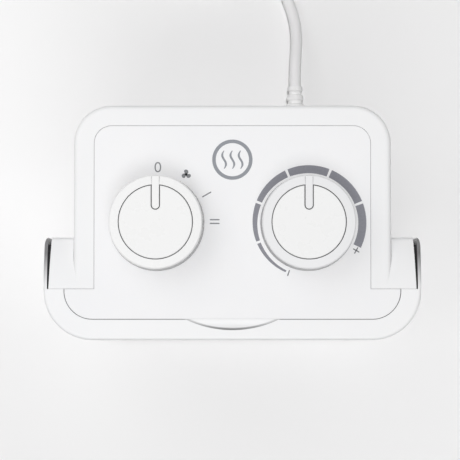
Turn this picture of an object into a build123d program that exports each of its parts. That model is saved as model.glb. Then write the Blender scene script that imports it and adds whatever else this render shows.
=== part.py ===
"""Ceramic fan heater: upright plastic housing, two round knobs on top, cord at the rear.

Millimetres, +Z up, front towards -Y. The origin is on the floor under the middle of the housing.
"""
from build123d import *
import math
import os

# Housing
overall_width = 192.0
overall_depth = 119.4
body_top = 235.0
ear_width = 15.3
rear_corner = 19.3
shoulder = 10.4
shoulder_round = 2.5
rim_reach = 26.0
ear_reach = 52.3
ear_curve = 50.0
ear_corner = 3.0
least_corner = 0.4
rim_corner = 25.0
rim_side = 10.6
rim_front = 10.7
rim_edge = 1.8
frame_wall = 2.4
skin_wall = 1.8
skin_round = 10.0
skin_tip = 0.8
shell_wall = 2.4
ear_wall = 2.0
parting_gap = 0.1
slot_front = 0.75
slot_rear = 2.0
cut_past = 1.0

# Control plate
plate_thickness = 2.6
plate_recess = 0.25
plate_gap = 0.3
plate_fit = 0.1
seat_width = 4.0
seat_thickness = 2.2
rim_lip = 2.0
plate_edge = 0.15

# Finger notch in the front of the rim
notch_width = 47.8
notch_reach = 5.6
notch_depth = 3.6
notch_pad = 2.2

# Base and feet
foot_height = 3.0
foot_diameter = 16.0
foot_from_side = 22.0
foot_from_end = 20.0
foot_peg = 6.0
foot_taper = 1.0
peg_gap = 0.05
base_thickness = 3.0
base_inset = 4.0
base_upstand = 5.0
upstand_wall = 2.0
bottom_flange = 13.0
fit_gap = 0.25

# Front grille
window_from_side = 30.0
window_height = 176.0
window_corner = 12.0
window_centre = 119.0
grille_flange = 3.4
flange_thickness = 2.0
slat_pitch = 8.0
slat_thickness = 1.8
slat_depth = 6.5
slat_tilt = 22.0
slat_trim = 1.0
slat_root = 0.5
grille_rim = 3.0
grille_set_back = 1.0
stay_width = 2.2
stay_depth = 3.0
stay_overlap = 2.5
stay_count = 3

# Rear grille and dust filter
rear_window_from_side = 24.7
rear_window_height = 128.0
rear_window_corner = 10.0
rear_slat_pitch = 6.4
rear_slat_depth = 4.0
rear_stay_width = 2.0
rear_stay_overlap = 2.2
rear_stay_count = 2
rear_set_back = 0.4
filter_thickness = 3.0
filter_rim = 5.0
filter_overlap = 1.0
filter_web = 1.0
filter_corner = 4.0

# Side intake grilles
intake_gap = 0.15
intake_set_back = 3.5

# Knobs
knob_from_side = 42.2
knob_from_front = 59.4
knob_base = 48.6
knob_top = 47.2
knob_height = 17.3
knob_rise = 0.3
knob_clearance = 0.5
knob_wall = 2.4
knob_roof = 3.6
knob_edge = 0.6
knob_boss = 13.0
cap_diameter = 36.9
cap_gap = 0.4
cap_depth = 2.4
cap_edge = 0.25
pointer_width = 3.6
pointer_end = 6.6
pointer_proud = 0.15

# Controls under the plate
shaft_diameter = 6.0
shaft_fit = 0.05
shaft_grip = 0.02
bush_diameter = 9.0
bush_gap = 0.2
switch_width = 27.0
switch_depth = 29.0
switch_height = 15.0
thermostat_width = 22.0
thermostat_depth = 34.0
thermostat_height = 12.0
shaft_depth = 10.0
switch_corner = 3.0
switch_deck = 3.0
switch_deck_diameter = 25.0
thermostat_corner = 2.0
bimetal_width = 8.0
bimetal_post = 5.0
bimetal_drop = 5.0
bimetal_thickness = 1.0
bimetal_front = 2.0
bimetal_rear = 4.0
tab_width = 6.3
tab_thickness = 0.8
tab_length = 8.0
tab_drop = 7.0
mode_tab_count = 4
thermostat_tab_count = 2

# Fan
fan_height = 119.0
duct_bore = 108.0
duct_wall = 2.0
duct_length = 24.0
guide_from_parting = 3.0
guide_thickness = 2.5
guide_over_low_post = 10.0
guide_under_high_post = 9.0
guide_rib = 4.0
guide_rib_width = 2.0
guide_rib_from_edge = 8.0
guide_rib_from_side = 14.0
shell_rib = 3.0
impeller_diameter = 104.0
impeller_depth = 15.0
hub_diameter = 34.0
hub_wall = 2.0
hub_boss = 10.0
blade_gap = 0.5
blade_camber = 0.08
blade_count = 7
blade_thickness = 1.8
root_angle = 48.0
tip_angle = 28.0
root_chord = 20.0
tip_chord = 30.0
motor_diameter = 46.0
motor_length = 30.0
motor_cap = 34.0
motor_nose = 14.0
motor_step = 6.0
motor_screw_bite = 6.0
motor_screw_room = 2.0
nose_gap = 0.1
motor_shaft_diameter = 5.0
shaft_end_gap = 1.0
bracket_thickness = 3.0
bracket_ring = 6.0
arm_count = 4
arm_width = 8.0
nut_width = 9.0
nut_height = 3.2
hub_gap = 3.2

# Heating element
element_depth = 15.0
bar_count = 4
bar_height = 3.0
bar_length = 104.0
fin_height = 16.0
fin_pitch = 4.0
fin_thickness = 0.5
element_rim = 8.0
element_inset = 1.5
element_corner = 4.0
element_pocket_corner = 0.5
element_window_corner = 2.0
bar_ledge = 4.0
fin_ledge = 1.0
bar_set_back = 1.0
bar_round = 0.35
fin_set_back = 2.0

# Safety parts
cutout_x = 28.0
cutout_diameter = 15.0
cutout_step = 2.0
cutout_thickness = 7.0
cutout_base = 2.0
fuse_x = -24.0
fuse_diameter = 4.0
fuse_length = 12.0
tip_switch_width = 22.0
tip_switch_depth = 13.0
tip_switch_height = 24.0
tip_switch_from_post = 20.7
tip_switch_from_rear = 26.0
tip_switch_corner = 1.0
plunger_diameter = 6.0
plunger_lift = 0.3
plunger_length = 20.0
plunger_gap = 0.3
plunger_edge = 1.2
plunger_room = 1.0

# Screws
post_from_side = 22.0
post_low = 17.0
post_high = 218.0
post_diameter = 10.5
post_bore = 7.6
frame_boss = 8.0
post_end_from_front = 40.0
post_floor = 3.0
pilot_diameter = 3.4
base_pilot_diameter = 2.6
screw_diameter = 3.2
screw_hole = 3.8
thread_depth = 0.4
screw_head = 6.4
screw_head_height = 2.4
low_head_height = 1.4
head_gap = 0.3
head_bevel = 0.3
cross_reach = 0.6
cross_width = 0.9
screw_length = 14.0
screw_end_gap = 1.0
corner_boss = 8.0
corner_boss_height = 8.0
base_screw_length = 7.0

# Mains cord
cord_diameter = 7.0
cord_from_post = 21.7
cord_height = 18.0
relief_length = 30.0
relief_root = 14.0
relief_tip = 9.4
relief_flange = 18.0
relief_flange_thickness = 2.0
relief_ring_count = 5
relief_gap = 0.1
relief_collar = 3.0
ring_depth = 1.0
ring_fall = 0.6
ring_floor = 2.2
ring_rise = 2.8
ring_bevel = 0.1
tip_bevel = 0.3
block_width = 30.0
block_depth = 14.0
block_from_rear = 24.0
block_cover = 2.0
block_hole = 4.0
block_hole_depth = 5.0
block_hole_pitch = 9.0
block_hole_count = 3
coil_inner = 29.5
coil_pitch = 7.7
turns_in = 2.5
turns_climb = 0.5
turns_out = 2.25
coil_lift = 1.1
tie_width = 11.0
tie_thickness = 0.8
tie_gap = 0.3
tie_corner = 3.0
tie_angle = 205.0
tail_length = 32.0
plug_length = 42.0
plug_width = 36.0
plug_neck = 13.0
plug_shoulder = 9.0
plug_edge = 5.0
plug_neck_end = 0.22
plug_flare_end = 0.55
plug_neck_flare = 0.5
plug_off_floor = 0.02
pin_diameter = 4.8
pin_length = 19.0
pin_spacing = 19.0
pin_edge = 1.2

# Planes and levels that follow from the sizes
body_width = overall_width - 2 * ear_width
window_width = overall_width - 2 * window_from_side
rear_window_width = body_width - 2 * rear_window_from_side
knob_spacing = body_width - 2 * knob_from_side
front_y = -overall_depth / 2
rear_y = overall_depth / 2
parting_y = front_y + rim_reach
ear_rear_y = front_y + ear_reach
ear_bend = math.asin((ear_reach - rim_reach) / ear_curve)
ear_drop = ear_curve * (1 - math.cos(ear_bend))
skin_run = math.sqrt(skin_round ** 2 - (skin_round - skin_wall + skin_tip) ** 2)
shell_bottom = foot_height + base_thickness
plate_top = body_top - plate_recess
plate_bottom = plate_top - plate_thickness
seat_bottom = plate_bottom - seat_thickness
cavity_top = body_top - frame_wall
inner_width = body_width - 2 * shell_wall
knob_y = front_y + knob_from_front
knob_bottom = plate_top + knob_clearance
guide_y = parting_y + guide_from_parting
guide_rear_y = guide_y + guide_thickness
guide_low = post_low + guide_over_low_post
guide_high = post_high - guide_under_high_post
duct_end_y = guide_y + duct_length
bracket_end_y = duct_end_y + bracket_thickness
element_height = bar_count * bar_height + (bar_count + 1) * fin_height
post_x = body_width / 2 - post_from_side
tip_switch_x = tip_switch_from_post - post_x
cord_x = post_x - cord_from_post
cord_exit_y = rear_y + relief_length
post_end_y = front_y + post_end_from_front
coil_low = coil_lift + cord_diameter / 2
coil_high = coil_low + coil_pitch
coil_turns = turns_in + turns_climb + turns_out

# Route of the free cord, chosen by hand: sideways and rearward from the strain relief's end, and height
cord_steps = [
    (0.0, 0.0, cord_height),
    (0.0, 13.3, cord_height),
    (1.4, 29.3, 13.4),
    (0.4, 44.3, 7.4),
    (-4.0, 58.3, 4.4),
    (-4.6, 72.3, 4.3),
]
coil_step = (-5.0, 110.3)
coil_run = 16.0
arc_share = 0.45


def plan_block(width, y_front, y_rear, z_low, z_high, front_radius=0.0, rear_radius=0.0):
    """Upright block, centred on X, with rounded corners in plan."""
    outline = Pos(0, (y_front + y_rear) / 2) * Rectangle(width, y_rear - y_front)
    if rear_radius > 0:
        outline = fillet(outline.vertices().group_by(Axis.Y)[-1], rear_radius)
    if front_radius > 0:
        outline = fillet(outline.vertices().group_by(Axis.Y)[0], front_radius)
    return Pos(0, 0, z_low) * extrude(outline, z_high - z_low)


def box(x_low, x_high, y_low, y_high, z_low, z_high):
    """Block between two corners."""
    size = Box(x_high - x_low, y_high - y_low, z_high - z_low)
    return Pos((x_low + x_high) / 2, (y_low + y_high) / 2, (z_low + z_high) / 2) * size


def rod_y(x, z, y_low, y_high, diameter):
    """Round bar along Y."""
    rod = Rot(90, 0, 0) * Cylinder(diameter / 2, y_high - y_low)
    return Pos(x, (y_low + y_high) / 2, z) * rod


def rod_z(x, y, z_low, z_high, diameter):
    """Round bar along Z."""
    return Pos(x, y, (z_low + z_high) / 2) * Cylinder(diameter / 2, z_high - z_low)


def wall_panel(width, height, corner, z_centre, y_low, y_high):
    """Flat upright panel, centred on X, with rounded corners."""
    outline = RectangleRounded(width, height, corner)
    return Pos(0, y_high, z_centre) * (Rot(90, 0, 0) * extrude(outline, y_high - y_low))


def plate_block(grow, z_low, z_high):
    """The T-shaped outline of the control plate, grown all round, as a block."""
    panel = plan_block(
        body_width - 2 * shoulder + 2 * grow, parting_y - rim_lip, rear_y - shoulder + grow,
        z_low, z_high, rear_radius=rear_corner - shoulder + grow)
    tongue_front = front_y + rim_front - grow
    tongue_rear = parting_y + grow
    corner = min(rim_corner - rim_front + grow, tongue_rear - tongue_front - least_corner)
    tongue = plan_block(
        overall_width - 2 * rim_side + 2 * grow, tongue_front, tongue_rear, z_low, z_high,
        front_radius=corner)
    return panel + tongue


def cheek_prism(inset):
    """Side view of the wide front part, whose top and bottom curve in towards the rear."""
    radius = ear_curve - inset
    z_low = shell_bottom + inset
    z_high = body_top - inset
    bend = math.degrees(math.asin((ear_rear_y - inset - parting_y) / radius))
    upper = JernArc((parting_y, z_high), (1, 0), radius, -bend)
    lower = JernArc((parting_y, z_low), (1, 0), radius, bend)
    front = Polyline(upper @ 0, (front_y, z_high), (front_y, z_low), lower @ 0)
    outline = make_face([upper, front, lower, Line(upper @ 1, lower @ 1)])
    corner = max(ear_corner - inset, least_corner)
    outline = fillet(outline.vertices().group_by(Axis.X)[-1], corner)
    return extrude(Plane.YZ * outline, overall_width, both=True)


def screw_places():
    """X and Z of the four long housing screws."""
    return [(side * post_x, z) for side in (-1, 1) for z in (post_low, post_high)]


def base_screw_places():
    """X and Y of the four screws through the base plate."""
    x = body_width / 2 - bottom_flange + corner_boss / 2
    levels = (ear_rear_y + corner_boss, rear_y - rear_corner - corner_boss)
    return [(side * x, y) for side in (-1, 1) for y in levels]


def notch_cut():
    """Scoop that rolls down and forward from the plate's edge to an arc."""
    edge_y = front_y + rim_front
    low = body_top - notch_depth
    half = notch_width / 2
    arc = ThreePointArc((-half, edge_y), (0, edge_y - notch_reach), (half, edge_y))
    face = make_face([arc, Line((half, edge_y), (-half, edge_y))])
    prism = Pos(0, 0, low) * extrude(face, notch_depth + cut_past, dir=(0, 0, 1))
    drop = plate_top - low
    radius = (notch_reach ** 2 + drop ** 2) / (2 * drop)
    roll = JernArc((edge_y, plate_top), (-1, 0), radius, math.degrees(math.asin(notch_reach / radius)))
    floor = make_face([roll, Polyline(roll @ 1, (edge_y, low), roll @ 0)])
    return prism - extrude(Plane.YZ * floor, half, both=True)


def notch_pad_block():
    """Thick part of the rim round the scoop; in the scoop it meets the plate's front edge."""
    half = notch_width / 2
    wide = half + notch_pad
    edge_y = front_y + rim_front
    low = body_top - notch_depth - notch_pad
    pad = box(-wide, wide, front_y + frame_wall / 2, edge_y - plate_gap, low, cavity_top + frame_wall / 2)
    return pad + box(-half, half, edge_y - 2 * plate_gap, edge_y, low, plate_top)


def bottom_block(inset, z_low, z_high):
    """Outline of the base, a set distance inside the shells, as a block."""
    body = plan_block(
        body_width - 2 * inset, parting_y - cut_past, rear_y - inset, z_low, z_high,
        rear_radius=rear_corner - inset)
    front = plan_block(
        overall_width - 2 * inset, front_y + inset, parting_y, z_low, z_high, front_radius=rim_corner - inset)
    return body + front


def bottom_opening():
    """Opening through the bottom walls of both shells."""
    return bottom_block(
        bottom_flange, shell_bottom - cut_past, shell_bottom + max(frame_wall, shell_wall) + cut_past)


def front_frame():
    """Front shell: face with its window, U-shaped rim, and a skin outside each ear."""
    frame = plan_block(
        overall_width, front_y, ear_rear_y + skin_round - skin_run, shell_bottom, body_top,
        front_radius=rim_corner, rear_radius=skin_round)
    frame &= cheek_prism(0)
    lowest = body_top - ear_drop - ear_corner
    outer = [
        edge for edge in frame.edges()
        if edge.center().Z > lowest
        and (abs(edge.center().X) > rim_corner or edge.center().Y < front_y + rim_edge)
    ]
    frame = fillet(outer, rim_edge)
    frame -= plan_block(
        overall_width - 2 * frame_wall, front_y + frame_wall, parting_y, shell_bottom + frame_wall,
        cavity_top, front_radius=rim_corner - frame_wall)
    frame -= bottom_opening()
    frame -= plan_block(
        overall_width - 2 * skin_wall, parting_y - parting_gap / 2, ear_rear_y + cut_past,
        shell_bottom - cut_past, body_top + cut_past)
    lip = plate_block(plate_gap + rim_lip, seat_bottom, cavity_top + frame_wall / 2)
    lip &= box(-overall_width, overall_width, front_y, parting_y - parting_gap / 2, 0, body_top)
    frame += lip
    frame -= plate_block(plate_gap, plate_bottom, body_top + cut_past)
    frame -= plate_block(-seat_width, seat_bottom - cut_past, plate_bottom + cut_past)
    frame += notch_pad_block()
    frame -= notch_cut()
    frame -= wall_panel(
        window_width, window_height, window_corner, window_centre, front_y - cut_past,
        front_y + frame_wall + cut_past)
    for x, z in screw_places():
        frame += rod_y(x, z, front_y + frame_wall / 2, post_end_y, frame_boss)
        frame -= rod_y(x, z, post_end_y - screw_length, post_end_y + cut_past, pilot_diameter)
    return frame


def slatted_panel(width, height, corner, z_centre, y_face, y_flange, pitch, depth, tilt, inward):
    """Grille: a flange behind the wall, and tilted slats in the window."""
    y_back = y_flange + inward * flange_thickness
    y_low, y_high = min(y_face, y_back), max(y_face, y_back)
    flange_low, flange_high = min(y_flange, y_back), max(y_flange, y_back)
    panel = wall_panel(
        width - 2 * fit_gap, height - 2 * fit_gap, corner - fit_gap, z_centre, y_low, y_high)
    panel += wall_panel(
        width + 2 * grille_flange, height + 2 * grille_flange, corner + grille_flange, z_centre,
        flange_low, flange_high)
    panel -= wall_panel(
        width - 2 * grille_rim, height - 2 * grille_rim, corner - grille_rim, z_centre,
        y_low - cut_past, y_high + cut_past)
    span = width - 2 * grille_rim + 2 * slat_root
    count = int((height - 2 * grille_rim) / pitch)
    z_first = z_centre - pitch * (count - 1) / 2
    y_slat = y_face + inward * depth / 2
    slat_reach = depth / math.cos(math.radians(tilt)) - slat_trim
    for index in range(count):
        slat = Rot(inward * tilt, 0, 0) * Box(span, slat_reach, slat_thickness)
        panel += Pos(0, y_slat, z_first + index * pitch) * slat
    return panel


def stay_places(width, count):
    """X of the upright stays, evenly spaced across a window."""
    spacing = width / (count + 1)
    return [spacing * (index + 1) - width / 2 for index in range(count)]


def front_grille():
    """Dark outlet grille that fills the window of the front frame."""
    grille = slatted_panel(
        window_width, window_height, window_corner, window_centre, front_y + grille_set_back,
        front_y + frame_wall, slat_pitch, slat_depth, slat_tilt, 1)
    stay_front = front_y + grille_set_back + slat_depth - stay_overlap
    half_height = window_height / 2 - grille_rim + slat_root
    for x in stay_places(window_width, stay_count):
        grille += box(
            x - stay_width / 2, x + stay_width / 2, stay_front, stay_front + stay_depth,
            window_centre - half_height, window_centre + half_height)
    return grille


def rear_grille():
    """Intake grille in the rear wall."""
    grille = slatted_panel(
        rear_window_width, rear_window_height, rear_window_corner, fan_height, rear_y - rear_set_back,
        rear_y - shell_wall, rear_slat_pitch, rear_slat_depth, 0.0, -1)
    stay_rear = rear_y - rear_stay_overlap
    half_height = rear_window_height / 2 - grille_rim + slat_root
    for x in stay_places(rear_window_width, rear_stay_count):
        grille += box(
            x - rear_stay_width / 2, x + rear_stay_width / 2, stay_rear - rear_stay_width, stay_rear,
            fan_height - half_height, fan_height + half_height)
    return grille


def ear(side, inset, taper_start, inner_x):
    """One quarter-round ear whose outer face leans inward towards the rear."""
    x_front = overall_width / 2 - skin_wall - slot_front - taper_start
    x_rear = overall_width / 2 - skin_wall - slot_rear - taper_start
    y_low = parting_y + parting_gap / 2
    points = [(inner_x, y_low), (x_front, y_low), (x_rear, ear_rear_y - inset), (inner_x, ear_rear_y - inset)]
    outline = Polygon(*[(side * x, y) for x, y in points], align=None)
    return extrude(outline, body_top, dir=(0, 0, 1)) & cheek_prism(inset)


def rear_shell():
    """Rear shell: rounded shoulder, two ears, rear window, and the seat of the control plate."""
    shell = plan_block(
        body_width, parting_y + parting_gap / 2, rear_y, shell_bottom, body_top, rear_radius=rear_corner)
    top_edges = [
        edge for edge in shell.edges()
        if edge.center().Z > body_top - least_corner and edge.center().Y > parting_y + least_corner
    ]
    shell = fillet(top_edges, shoulder_round)
    for side in (-1, 1):
        shell += ear(side, 0, 0, body_width / 2 - shoulder + plate_fit)
    shell -= plan_block(
        inner_width, parting_y - cut_past, rear_y - shell_wall, shell_bottom + shell_wall, seat_bottom,
        rear_radius=rear_corner - shell_wall)
    shell -= bottom_opening()
    for side in (-1, 1):
        hollow = ear(side, shell_wall, ear_wall, body_width / 2)
        shell -= hollow
        shell -= Pos(0, -cut_past, 0) * hollow
        rib_x = side * inner_width / 2
        rib_low = min(rib_x, rib_x - side * shell_rib)
        shell += box(
            rib_low, rib_low + shell_rib, guide_rear_y + fit_gap, guide_rear_y + shell_rib,
            guide_low, guide_high)
    shell -= plate_block(plate_fit, plate_bottom, body_top + cut_past)
    shell -= plate_block(-seat_width, seat_bottom - cut_past, plate_bottom + cut_past)
    shell -= wall_panel(
        rear_window_width, rear_window_height, rear_window_corner, fan_height,
        rear_y - shell_wall - cut_past, rear_y + cut_past)
    for x, z in screw_places():
        shell += rod_y(x, z, post_end_y + fit_gap, rear_y - shell_wall / 2, post_diameter)
        shell -= rod_y(x, z, post_end_y + post_floor, rear_y + cut_past, post_bore)
        shell -= rod_y(x, z, post_end_y, post_end_y + post_floor + cut_past, screw_hole)
    for x, y in base_screw_places():
        shell += rod_z(x, y, shell_bottom, shell_bottom + corner_boss_height, corner_boss)
        shell -= rod_z(
            x, y, shell_bottom - cut_past, shell_bottom + base_screw_length - screw_end_gap,
            base_pilot_diameter)
    shell -= rod_y(
        cord_x, cord_height, rear_y - shell_wall - cut_past, rear_y + cut_past, relief_root + 2 * relief_gap)
    return shell


def side_intake(side):
    """Dark wedge that closes the slot between one ear and the skin outside it."""
    outer = overall_width / 2 - skin_wall
    y_low = parting_y + parting_gap
    points = [
        (outer - slot_front + intake_gap, y_low), (outer - intake_gap, y_low),
        (outer - intake_gap, ear_rear_y), (outer - slot_rear + intake_gap, ear_rear_y)]
    outline = Polygon(*[(side * x, y) for x, y in points], align=None)
    return extrude(outline, body_top, dir=(0, 0, 1)) & cheek_prism(intake_set_back)


def top_plate():
    """Recessed T-shaped control plate with the two bush holes."""
    plate = plate_block(0, plate_bottom, plate_top)
    plate = chamfer(plate.faces().sort_by(Axis.Z)[-1].edges(), plate_edge)
    for side in (-1, 1):
        plate -= rod_z(
            side * knob_spacing / 2, knob_y, plate_bottom - cut_past, plate_top + cut_past,
            bush_diameter + 2 * bush_gap)
    return plate


def pointer_shape(clearance):
    """Plan of the pointer bar, from its round end out past the rim, with a clearance round it."""
    half = pointer_width / 2 + clearance
    middle = pointer_end + pointer_width / 2
    bar = Pos(0, (middle + knob_base / 2) / 2) * Rectangle(2 * half, knob_base / 2 - middle)
    return bar + Pos(0, middle) * Circle(half)


def knob(x):
    """Hollow knob ring with a raised pointer bar, and a boss for the shaft."""
    base_r = knob_base / 2
    top_r = knob_top / 2
    recess_r = cap_diameter / 2 + cap_gap
    roof = knob_height + knob_rise
    floor = roof - cap_depth
    outside = Polyline(
        (0, 0), (base_r, 0), (top_r, knob_height - knob_edge), (top_r - knob_edge, knob_height),
        (recess_r, roof), (recess_r, floor), (0, floor), (0, 0))
    upright = (Align.CENTER, Align.CENTER, Align.MIN)
    body = revolve(Plane.XZ * make_face(outside), Axis.Z)
    hollow = Cone(base_r - knob_wall, top_r - knob_wall, roof - knob_roof, align=upright)
    body -= hollow - Cylinder(knob_boss / 2, roof, align=upright)
    bar = Pos(0, 0, floor) * extrude(pointer_shape(0), cap_depth + pointer_proud)
    body += bar & Cylinder(top_r - knob_edge, roof + cut_past, align=upright)
    body -= Cylinder(shaft_diameter / 2 + shaft_grip, shaft_depth, align=upright)
    return Pos(x, knob_y, knob_bottom) * body


def knob_cap(x):
    """Disc set into the top of a knob, cut out round the pointer bar."""
    low = knob_height + knob_rise - cap_depth
    height = cap_depth + pointer_proud
    cap = Cylinder(cap_diameter / 2, height, align=(Align.CENTER, Align.CENTER, Align.MIN))
    cap -= Pos(0, 0, -cut_past) * extrude(pointer_shape(cap_gap), height + 2 * cut_past)
    cap = chamfer(cap.faces().sort_by(Axis.Z)[-1].edges(), cap_edge)
    return Pos(x, knob_y, knob_bottom + low) * cap


def control_shaft(x):
    """Shaft that the knob sits on; it turns in the bush of its switch."""
    return rod_z(x, knob_y, plate_bottom - shaft_depth, knob_bottom + shaft_depth, shaft_diameter)


def bushed(body, x):
    """Add the bush that comes up through the plate, and bore it for the shaft."""
    body += rod_z(x, knob_y, plate_bottom - cut_past, plate_top, bush_diameter)
    return body - rod_z(
        x, knob_y, plate_bottom - shaft_depth - cut_past, plate_top + cut_past,
        shaft_diameter + 2 * shaft_fit)


def mode_switch():
    """Rotary switch under the left knob: a square body with a stepped lower deck."""
    x = -knob_spacing / 2
    low = plate_bottom - switch_height
    body = Pos(x, knob_y, plate_bottom - switch_height / 2) * Box(switch_width, switch_depth, switch_height)
    body = chamfer(body.edges().filter_by(Axis.Z), switch_corner)
    body += rod_z(x, knob_y, low - switch_deck, low, switch_deck_diameter)
    return bushed(body, x)


def thermostat():
    """Thermostat under the right knob: a ceramic block with a bimetal arm below it."""
    x = knob_spacing / 2
    low = plate_bottom - thermostat_height
    arm_low = low - bimetal_drop
    y_front = knob_y - thermostat_depth / 2 + bimetal_front
    y_rear = knob_y + thermostat_depth / 2 - bimetal_rear
    half = bimetal_width / 2
    body = Pos(x, knob_y, plate_bottom - thermostat_height / 2) * Box(
        thermostat_width, thermostat_depth, thermostat_height)
    body = fillet(body.edges().filter_by(Axis.Z), thermostat_corner)
    body += box(x - half, x + half, y_front, y_front + bimetal_post, arm_low, low)
    body += box(x - half, x + half, y_front, y_rear, arm_low - bimetal_thickness, arm_low)
    return bushed(body, x)


def terminal_tabs():
    """Brass push-on tabs at the rear of both controls."""
    tabs = []
    z = plate_bottom - tab_drop
    half = tab_thickness / 2
    for middle, rear, count in (
            (-knob_spacing / 2, knob_y + switch_depth / 2, mode_tab_count),
            (knob_spacing / 2, knob_y + thermostat_depth / 2, thermostat_tab_count)):
        for index in range(count):
            x = middle + (index - (count - 1) / 2) * tab_width
            tabs.append(box(
                x - half, x + half, rear, rear + tab_length, z - tab_width / 2, z + tab_width / 2))
    return Compound(tabs)


def base_plate():
    """Plinth that closes both shells from below."""
    bottom = foot_height
    low = bottom - cut_past
    high = shell_bottom + cut_past
    plate = bottom_block(base_inset, bottom, shell_bottom)
    ring = bottom_block(bottom_flange + fit_gap, shell_bottom, shell_bottom + base_upstand)
    ring -= bottom_block(
        bottom_flange + fit_gap + upstand_wall, shell_bottom - cut_past,
        shell_bottom + base_upstand + cut_past)
    plate += ring
    for x, y in base_screw_places():
        plate -= rod_z(x, y, low, high, pilot_diameter)
        plate -= rod_z(x, y, low, bottom + low_head_height, screw_head + 2 * head_gap)
    for x, y in foot_places():
        plate -= rod_z(x, y, low, high, foot_peg)
    plate -= rod_z(tip_switch_x, rear_y - tip_switch_from_rear, 0, high, plunger_diameter + 2 * plunger_gap)
    return plate


def foot_places():
    """X and Y of the four feet."""
    x = body_width / 2 - foot_from_side
    return [(side * x, y) for side in (-1, 1) for y in (front_y + foot_from_end, rear_y - foot_from_end)]


def rubber_feet():
    """Four round feet with pegs that fill their holes in the base plate."""
    feet = []
    for x, y in foot_places():
        pad = Cone(
            foot_diameter / 2 - foot_taper, foot_diameter / 2, foot_height,
            align=(Align.CENTER, Align.CENTER, Align.MIN))
        foot = Pos(x, y, 0) * pad
        feet.append(foot + rod_z(x, y, foot_height / 2, shell_bottom, foot_peg - 2 * peg_gap))
    return Compound(feet)


def air_guide():
    """Partition inside the rear shell that carries the fan duct, the element and the motor."""
    half = inner_width / 2 - fit_gap
    guide = box(-half, half, guide_y, guide_rear_y, guide_low, guide_high)
    guide += rod_y(0, fan_height, guide_y, duct_end_y, duct_bore + 2 * duct_wall)
    rib_end = half - guide_rib_from_side
    for z in (guide_low + guide_rib_from_edge, guide_high - guide_rib_from_edge):
        guide += box(
            -rib_end, rib_end, guide_rear_y, guide_rear_y + guide_rib,
            z - guide_rib_width / 2, z + guide_rib_width / 2)
    return guide - rod_y(0, fan_height, guide_y - cut_past, duct_end_y + cut_past, duct_bore)


def motor_bracket():
    """Spider on the rear of the duct that holds the motor."""
    outer = duct_bore + 2 * duct_wall
    low = duct_end_y - cut_past
    high = bracket_end_y + cut_past
    bracket = rod_y(0, fan_height, duct_end_y, bracket_end_y, outer)
    bracket -= rod_y(0, fan_height, low, high, outer - 2 * bracket_ring)
    bracket += rod_y(0, fan_height, duct_end_y, bracket_end_y, motor_diameter)
    for index in range(arm_count):
        arm = box(
            -arm_width / 2, arm_width / 2, duct_end_y, bracket_end_y,
            motor_diameter / 2 - cut_past, outer / 2 - bracket_ring + cut_past)
        arm = Rot(0, 45 + index * 360 / arm_count, 0) * arm
        bracket += Pos(0, 0, fan_height) * arm
    for x in (-motor_cap / 2, motor_cap / 2):
        bracket -= rod_y(x, fan_height, low, high, pilot_diameter)
    return bracket - rod_y(0, fan_height, low, high, motor_nose + 2 * nose_gap)


def fan_motor():
    """Round motor with a nose that passes through the bracket."""
    rear = bracket_end_y + motor_length
    low = bracket_end_y - cut_past
    screw_end = bracket_end_y + motor_screw_bite + motor_screw_room
    motor = rod_y(0, fan_height, bracket_end_y, rear - motor_step, motor_diameter)
    motor += rod_y(0, fan_height, rear - motor_step, rear, motor_cap)
    motor += rod_y(0, fan_height, duct_end_y, bracket_end_y + cut_past, motor_nose)
    for x in (-motor_cap / 2, motor_cap / 2):
        motor -= rod_y(x, fan_height, low, screw_end, screw_diameter)
    return motor - rod_y(
        0, fan_height, duct_end_y - cut_past, bracket_end_y + motor_length / 2,
        motor_shaft_diameter + 2 * shaft_fit)


def motor_shaft():
    """Shaft from inside the motor to the nut in front of the impeller."""
    return rod_y(
        0, fan_height, duct_end_y - hub_gap - impeller_depth - nut_height,
        bracket_end_y + motor_length / 2 - shaft_end_gap, motor_shaft_diameter)


def blade_section(radius, chord, angle):
    """Thin curved section of a blade, square to its radius."""
    half = chord / 2
    sag = chord * blade_camber
    upper = ThreePointArc((-half, 0), (0, sag + blade_thickness / 2), (half, 0))
    lower = ThreePointArc((half, 0), (0, sag - blade_thickness / 2), (-half, 0))
    face = make_face([upper, lower])
    return Pos(0, 0, radius) * (Rot(0, 0, angle) * face)


def fan_impeller():
    """Axial impeller: a cup hub with twisted blades."""
    y_rear = duct_end_y - hub_gap
    y_front = y_rear - impeller_depth
    hub = rod_y(0, fan_height, y_front, y_rear, hub_diameter)
    hub -= rod_y(0, fan_height, y_front + hub_wall, y_rear + cut_past, hub_diameter - 2 * hub_wall)
    hub += rod_y(0, fan_height, y_front, y_rear, hub_boss)
    blade = loft([
        blade_section(hub_diameter / 2 - hub_wall / 2, root_chord, root_angle),
        blade_section(impeller_diameter / 2 - blade_gap, tip_chord, tip_angle),
    ])
    blade &= rod_y(0, 0, -impeller_depth / 2, impeller_depth / 2, impeller_diameter)
    for index in range(blade_count):
        turned = Rot(0, index * 360 / blade_count, 0) * blade
        hub += Pos(0, (y_front + y_rear) / 2, fan_height) * turned
    return hub - rod_y(
        0, fan_height, y_front - cut_past, y_rear + cut_past, motor_shaft_diameter + 2 * shaft_grip)


def impeller_nut():
    """Hexagon nut in front of the impeller."""
    y_rear = duct_end_y - hub_gap - impeller_depth
    nut = extrude(RegularPolygon(nut_width / 2, 6, major_radius=False), nut_height)
    nut = Pos(0, y_rear, fan_height) * (Rot(90, 0, 0) * nut)
    return nut - rod_y(
        0, fan_height, y_rear - nut_height - cut_past, y_rear + cut_past,
        motor_shaft_diameter + 2 * shaft_grip)


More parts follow.
